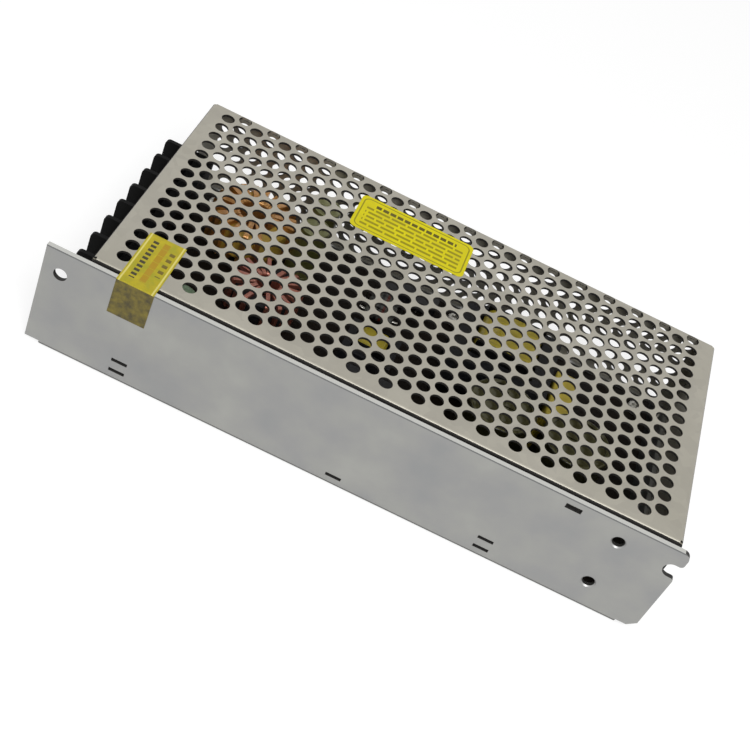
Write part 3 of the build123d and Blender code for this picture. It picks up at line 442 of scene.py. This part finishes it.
def long_label(tree):
    low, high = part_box("top_label")
    size = [(high[i] - low[i]) / MM for i in (0, 1)]
    middle = [s / 2 for s in size]
    label = wandering(tree, ("#CEC200", "#DDD206"), (0.5, 0.65), 5.0, 1.5, 0.01, **SATIN_FILM)
    colour = label["Base Color"]
    fine = ((middle[0], middle[1] - FINE_DROP), (middle[0] - FINE_SIDE, FINE_HALF))
    bold = ((middle[0], size[1] - BOLD_INSET), (middle[0] * BOLD_SHARE, BOLD_BAR[1] / 2))
    border = (middle, [m - BORDER_INSET for m in middle], BORDER_RADIUS)
    colour = print_rows(tree, low, colour, linear("#948A00"), fine, FINE_BAR, FINE_STRETCH)
    colour = print_rows(tree, low, colour, linear("#5A5208"), bold, BOLD_BAR, BOLD_STRETCH)
    colour = print_line(tree, low, colour, linear("#938A0C"), border, BORDER_LINE)
    print("long label in mm:", [round(s, 1) for s in size])
    return label | {"Base Color": colour}


dress(finish("printed_yellow_film", long_label), "top_label")

# %% [markdown]
# The seal crosses from the cover down over the side plate. On top it carries a row of black
# bars along one side, a smudged ochre band along the middle and a few dark bars along the
# other side, between two pale lines. Its fall is painted dark olive and mottled: its film is
# thin there, and the rest of the darkening is painted shade. Each row of print has its place
# across as a share of the width, its half width, how far it is moved along and shortened,
# its bar and its ink.

# %% The seal
SEAL_PRINT = (
    (0.55, 0.95, 0.0, 0.0, (40.0, 3.3, 0.12), "#A8860A"),
    (0.27, 0.85, 0.0, 0.0, (40.0, 2.0, 0.5), "#322D08"),
    (0.79, 0.8, 1.5, 3.0, (40.0, 2.9, 0.85), "#6A5A0A"),
)
PRINT_SHIFT = 0.6
PRINT_END = 2.4
EDGE_INSET = 0.7
EDGE_RADIUS = 0.4
EDGE_LINE = 0.5
FOLD_DROP = 0.35


def seal(tree):
    low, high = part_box("seal_label")
    width, depth = [(high[i] - low[i]) / MM for i in (0, 1)]
    on_cover = wandering(tree, ("#9C980E", "#AE9F12", "#BCAC18"), (0.5, 0.65), 3.0)
    colour = on_cover["Base Color"]
    middle = depth / 2 + PRINT_SHIFT
    reach = depth / 2 - PRINT_END
    for across, half, moved, shortened, bar, ink in SEAL_PRINT:
        box = ((width * across, middle + moved), (half, reach - shortened))
        colour = print_rows(tree, low, colour, linear(ink), box, bar)
    edges = ((width / 2, middle), (width / 2 - EDGE_INSET, depth), EDGE_RADIUS)
    colour = print_line(tree, low, colour, linear("#D6CC70"), edges, EDGE_LINE)
    print("seal in mm:", round(width, 1), round(depth, 1))
    # partly painted shade: the fall is painted darker than its thin film alone would make it
    fall = wandering(tree, ("#3A320A", "#5A4F12", "#72651C"), (0.4, 0.52), 1.8)
    on_top = past(tree, "Z", cad_box[1].z / MM - FOLD_DROP)
    return blend(tree, on_top, fall, on_cover | {"Base Color": colour})


dress(finish("printed_seal_film", seal), "seal_label")

# %% [markdown]
# ## Moulded plastics
#
# Filled polyester is moulded against a spark-eroded tool, which leaves an even, fine texture
# and a soft shine. Black plastic is never quite black: dust and skin grease lift it to a
# very dark grey, and that lift is what lets the barriers show their shape. The texture of a
# moulding tool is about 0.3 mm from dimple to dimple.

# %% Moulded plastics and films
MATT_BLACK = {"IOR": 1.5, "Specular IOR Level": 0.12}
black_plastic = finish("moulded_black_polyester", wandering, ("#060606", "#0B0B0B"), (0.55, 0.68), 8.0, 0.3,
                       **MATT_BLACK)
blue_plastic = finish("moulded_blue_plastic", wandering, ("#1F4F96", "#2B61AE"), (0.35, 0.47), 5.0, 0.3,
                      IOR=1.5)
white_plastic = finish("moulded_white_plastic", wandering, ("#DAD9D0", "#E8E7DF"), (0.33, 0.45), 3.0, 0.3,
                       IOR=1.5)
yellow_box = finish("yellow_capacitor_box", wandering, ("#C9B13A", "#DBC54A"), (0.3, 0.42), 6.0, 0.35,
                    IOR=1.5)
grey_pad = finish("grey_silicone_pad", wandering, ("#5C5C5E", "#6E6E70"), (0.7, 0.82), 6.0, 0.5, 0.02,
                  IOR=1.42)
film = finish("polyester_film", wandering, ("#55554F", "#66665F"), (0.3, 0.45), 12.0, 3.0, 0.01, IOR=1.6)
dress(black_plastic, "terminal_block", "main_transformer_bobbin", "driver_transformer_bobbin")
dress(blue_plastic, "trimmer_body")
dress(white_plastic, "trimmer_rotor")
dress(yellow_box, "line_capacitor", "coupling_capacitor")
dress(grey_pad, "insulating_pad")
dress(film, "insulating_sheet")

# %% [markdown]
# ## The lamp and the fuse tube: clear epoxy and glass
#
# The lamp is tinted epoxy, cast round its chip. It lets light in, so it needs transmission,
# but its haze keeps anything from showing through sharply. The fuse is clear glass.

# %% Clear pieces
LENS = {"Transmission Weight": 0.55, "IOR": 1.55}
GLASS = {"Transmission Weight": 0.9, "IOR": 1.5}
lens_epoxy = finish("tinted_clear_epoxy", wandering, ("#4DB35A", "#79D07F"), (0.12, 0.25), 0.8, **LENS)
tube_glass = finish("clear_fuse_glass", wandering, ("#DDE3E0", "#EEF1EF"), (0.03, 0.12), 2.0, 1.0, 0.001,
                    **GLASS)
dress(lens_epoxy, "indicator_lamp")
dress(tube_glass, "fuse_glass")

# %% [markdown]
# ## The board: coated laminate
#
# The board is pressed from paper and resin, then coated. Its colour is painted much darker
# than bare laminate, as painted shade for the dim inside of the case, so through the holes of
# the cover it reads as a deep brown shadow. Its fibres run along the board at about half a millimetre.

# %% Board laminate
DUSTY = {"IOR": 1.5, "Specular IOR Level": 0.15}
# painted shade: the laminate's tones are painted almost black
laminate = finish("coated_paper_laminate", wandering, ("#0E0A06", "#1A120A"), (0.6, 0.75), 12.0, 0.5, 0.01,
                  (0.2, 1, 1), **DUSTY)
dress(laminate, "circuit_board")

# %% [markdown]
# ## Parts with tinned legs
#
# Many parts are one moulding or one dipped body on metal legs, and the model holds both in
# one solid. The height tells them apart: below the body everything is tinned wire. The same
# trick splits a power device, whose metal tab stands above its moulding.

# %% Bodies on legs
BOARD_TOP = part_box("circuit_board")[1].z / MM
TINNED_LEG = {"Base Color": linear("#C9C7C0"), "Roughness": 0.3, "Metallic": 1.0}
DISC_LEG = BOARD_TOP + 1.4
BRIDGE_LEG = BOARD_TOP + 3.0
CHIP_LEG = BOARD_TOP + 0.8
DEVICE_LEG = BOARD_TOP + 4.5
DEVICE_TAB = DEVICE_LEG + 9.2


def on_legs(tree, tones, roughness, body_low, body_high=None, **more):
    """A body above tinned legs, and below a metal tab where its top is given too."""
    body = wandering(tree, tones, roughness, 3.0, 0.4, 0.006, Metallic=0.0, IOR=1.5, **more)
    moulded = past(tree, "Z", body_low)
    if body_high is not None:
        moulded = only(tree, moulded, none_of=[past(tree, "Z", body_high)])
    return blend(tree, moulded, body | TINNED_LEG, body)


WAX = {"Coat Weight": 0.4}
green_disc = finish("green_disc_epoxy", on_legs, ("#7F9A78", "#9CB694"), (0.25, 0.37), DISC_LEG, **WAX)
tan_disc = finish("tan_disc_epoxy", on_legs, ("#7A4A20", "#96602C"), (0.25, 0.37), DISC_LEG, **WAX)
device = finish("moulded_black_epoxy", on_legs, ("#0E0E10", "#1A1A1C"), (0.45, 0.57), DEVICE_LEG, DEVICE_TAB)
bridge = finish("bridge_black_epoxy", on_legs, ("#101011", "#1C1C1E"), (0.45, 0.57), BRIDGE_LEG)
chip = finish("chip_black_epoxy", on_legs, ("#0F0F11", "#1B1B1D"), (0.45, 0.57), CHIP_LEG)
dress(green_disc, "thermistor")
dress(tan_disc, "suppression_discs")
dress(device, "switching_transistors", "output_rectifier")
dress(bridge, "bridge_rectifier")
dress(chip, "control_chip")

# %% [markdown]
# ## Ferrite and powder cores
#
# Ferrite is pressed and fired like a tile: dark grey, matt, with tiny pits. The ring of the
# output choke is pressed iron powder under a coat of paint.

# %% Cores
MATT_TILE = {"IOR": 2.0, "Specular IOR Level": 0.15}
ferrite = finish("fired_ferrite", wandering, ("#0E0E10", "#1A1A1D"), (0.6, 0.75), 2.0, 0.5, 0.02,
                 **MATT_TILE)
powder = finish("painted_powder_core", wandering, ("#B8963A", "#CDAE4E"), (0.42, 0.58), 2.0, 0.5, 0.02,
                IOR=1.5)
dress(ferrite, "line_choke_core", "main_transformer_core", "driver_transformer_core")
dress(powder, "output_choke_core")

# %% [markdown]
# ## Windings: enamelled copper
#
# Copper wire under a thin varnish. The metal gives the warm reflection and the varnish a
# second, sharper one, which is what a coat layer is for. The output choke has a pale amber
# varnish, and the mains choke a redder one.

# %% Enamelled copper
VARNISHED = {"Metallic": 0.75, "Coat Weight": 0.6, "Coat Roughness": 0.12}
amber = finish("amber_enamelled_copper", wandering, ("#C58A48", "#DDA663"), (0.3, 0.42), 2.2, 0.8,
               **VARNISHED)
rose = finish("rose_enamelled_copper", wandering, ("#B86A58", "#D08A76"), (0.3, 0.42), 2.2, 0.8,
              **VARNISHED)
dress(amber, "output_choke_winding")
dress(rose, "line_choke_windings")

# %% [markdown]
# ## Windings under tape
#
# A transformer's windings are wrapped in yellow polyester tape. Each turn ends in a faint
# step, so a saw-shaped wave along the winding makes the edges of the wraps, 4 mm apart. A
# wave texture has one band every pi divided by 10 of a unit at a scale of 1, which is where
# the sum in its scale comes from.

# %% Yellow tape
TAPE_MM = 4.0
STEP_START = 0.85
STEP_SHARE = 0.4
STEP_MM = 0.03
WAVER = 0.4


def wound_tape(tree):
    tape = wandering(tree, ("#B8A424", "#CDBA38"), (0.25, 0.4), 5.0, IOR=1.6)
    place = add(tree, "TexCoord", out="Object")
    shape = {"bands_direction": "Y", "wave_profile": "SAW"}
    pace = {"Vector": place, "Scale": math.pi / 10 / (TAPE_MM * MM), "Distortion": WAVER}
    wraps = add(tree, "TexWave", pace, out="Fac", **shape)
    ends = {"Value": wraps, "From Min": STEP_START, "From Max": 1.0}
    step = add(tree, "MapRange", ends | {"To Min": 0.0, "To Max": STEP_SHARE})
    stepped = blend(tree, step, tape, {"Base Color": linear("#7F700F")})
    return stepped | {"Normal": add(tree, "Bump", {"Height": wraps, "Distance": STEP_MM * MM})}


taped = finish("yellow_polyester_tape", wound_tape)
dress(taped, "main_transformer_windings", "driver_transformer_windings")

# %% [markdown]
# ## Round capacitors: aluminium cans in a shrunk sleeve
#
# The sleeve is olive plastic film, shrunk on with heat, and the bare can shows in the recess
# of the top. The recess lies just below the rim and looks up, so height and direction
# together pick it out.

# %% Sleeved cans
SHRUNK = {"Coat Weight": 0.3, "IOR": 1.5}
FACE_MM = 1.0


def sleeved_can(tree, tones, can, node):
    """A shrunk sleeve, with the bare can in the recess of its top."""
    sleeve = wandering(tree, tones, (0.28, 0.42), 6.0, 1.0, 0.008, Metallic=0.0, **SHRUNK)
    high = past(tree, "Z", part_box(node)[1].z / MM - FACE_MM)
    top = only(tree, high, looks_along(tree, "Z"))
    return blend(tree, top, sleeve, {"Base Color": linear(can), "Metallic": 0.6})


dark_olive = finish("dark_olive_sleeve", sleeved_can, ("#1C1A0A", "#2A2812"), "#4C4926", "bulk_capacitors")
olive = finish("olive_sleeve", sleeved_can, ("#50502A", "#68683A"), "#8F9064", "output_capacitors")
dress(dark_olive, "bulk_capacitors")
dress(olive, "output_capacitors")

# %% [markdown]
# ## Resistors: grey enamel with colour bands
#
# Power resistors are coated in grey enamel and carry their value as painted rings. The rings
# lie across the body, so they are bands of the X coordinate, measured from the middle, and
# past the ends of the body comes the tinned wire.

# %% Banded resistors
BAND_MM = 0.9
BODY_MM = 10.0
BANDS = ((-2.6, "#4E2A14"), (-0.9, "#141414"), (0.8, "#5A2418"), (2.6, "#6E5E28"))


def banded_enamel(tree):
    low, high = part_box("resistors")
    middle = (low.x + high.x) / 2 / MM
    body = wandering(tree, ("#3C3D38", "#4A4B44"), (0.45, 0.6), 2.0, Metallic=0.0, IOR=1.5)
    for centre, code in BANDS:
        ring = between(tree, "X", middle + centre - BAND_MM / 2, middle + centre + BAND_MM / 2)
        body = blend(tree, ring, body, {"Base Color": linear(code)})
    reach = BODY_MM / 2 + OFF_EDGE
    coated = between(tree, "X", middle - reach, middle + reach)
    return blend(tree, coated, body | TINNED_LEG, body)


dress(finish("grey_resistor_enamel", banded_enamel), "resistors")

# %% [markdown]
# ## A floor that stays white and keeps the shadow
#
# The picture has a plain white ground. More light would also bleach the object, so the white
# comes from the floor itself: rays from the camera, from gloss and through glass meet a floor
# that gives off part of its white and takes the rest from the lamps. That second part is
# what a shadow can darken. Other rays meet plain pale paint.

# %% The floor
FLOOR_SIZE = 8.0
FLOOR_DROP = 0.2 * MM
GLOW = 0.7
SHADED_PART = 0.38
WHITE = (1, 1, 1, 1)


def sees_ground(tree):
    """1 for rays from the camera, from gloss and through glass."""
    kinds = ("Is Camera Ray", "Is Glossy Ray", "Is Transmission Ray")
    return any_of(tree, *[add(tree, "LightPath", out=kind) for kind in kinds])


floor_paint = bpy.data.materials.new("pale_painted_floor")
floor_paint.use_nodes = True
floor_tree = floor_paint.node_tree
floor_tree.nodes.clear()
paint = add(floor_tree, "BsdfDiffuse", {"Color": linear("#E4E4E2")})
thin = add(floor_tree, "BsdfDiffuse", {"Color": (SHADED_PART, SHADED_PART, SHADED_PART, 1)})
glow = add(floor_tree, "Emission", {"Color": WHITE, "Strength": GLOW})
seen = add(floor_tree, "AddShader", {0: thin, 1: glow})
ground = add(floor_tree, "MixShader", {0: sees_ground(floor_tree), 1: paint, 2: seen})
add(floor_tree, "OutputMaterial", {"Surface": ground})

bpy.ops.mesh.primitive_plane_add(size=FLOOR_SIZE, location=(0, 0, -FLOOR_DROP))
floor = bpy.context.object
floor.name = "floor"
floor.data.materials.append(floor_paint)
print("floor of", FLOOR_SIZE, "m")

# %% [markdown]
# ## Soft studio light
#
# A dome of even light does part of the work, at a level where a colour renders about as it is
# written. One large lamp from the front and above gives the shapes a bright and a darker
# side and reaches through the holes to the far wall. A weaker one from the left keeps the
# terminal end from going dull.

# %% World and lamps
DOME = 0.42

world = bpy.data.worlds.new("studio")
bpy.context.scene.world = world
world.use_nodes = True
sky = world.node_tree
sky.nodes.clear()
dome = add(sky, "Background", {"Color": WHITE, "Strength": DOME})
white = add(sky, "Background", {"Color": WHITE, "Strength": 1.0})
backdrop = add(sky, "MixShader", {0: sees_ground(sky), 1: dome, 2: white})
add(sky, "OutputWorld", {"Surface": backdrop})


def lamp(name, spot, size, power):
    """A square soft lamp that looks at the object."""
    data = bpy.data.lights.new(name, "AREA")
    data.size = size
    data.energy = power
    made = bpy.data.objects.new(name, data)
    made.location = spot
    made.rotation_euler = (-Vector(spot)).to_track_quat("-Z", "Y").to_euler()
    bpy.context.scene.collection.objects.link(made)
    print(name, "of", size, "m and", power, "W")


lamp("key_lamp", spot=(0.25, -0.95, 1.0), size=0.7, power=13.0)
lamp("fill_lamp", spot=(-0.9, -0.3, 0.7), size=0.8, power=2.0)

# %% [markdown]
# ## The camera
#
# The photograph looks down on the long side plate, and its camera is rolled, so that the case
# runs downhill to the right. The place, the two angles, the roll and the lens were worked out
# from the corners of the case and from its regular grid of holes.

# %% Camera
CAMERA_SPOT = Vector((-10.5, -334.9, 301.3)) * MM
VIEW_AZIMUTH = math.radians(1.6)
VIEW_DROP = math.radians(41.6)
VIEW_ROLL = math.radians(26.96)
LENS_MM = 67.31
SENSOR_MM = 36.0

camera_data = bpy.data.cameras.new("camera")
camera_data.lens = LENS_MM
camera_data.sensor_width = SENSOR_MM
camera_data.clip_start = 0.01
camera = bpy.data.objects.new("camera", camera_data)
level = math.cos(VIEW_DROP)
ahead = Vector((math.sin(VIEW_AZIMUTH) * level, math.cos(VIEW_AZIMUTH) * level, -math.sin(VIEW_DROP)))
turned = Matrix.Rotation(-VIEW_ROLL, 3, ahead) @ ahead.to_track_quat("-Z", "Y").to_matrix()
camera.matrix_world = Matrix.Translation(CAMERA_SPOT) @ turned.to_4x4()
bpy.context.scene.collection.objects.link(camera)
bpy.context.scene.camera = camera
bpy.context.scene.view_settings.view_transform = "Standard"
print("camera is", round(CAMERA_SPOT.length, 3), "m from the middle of the base")
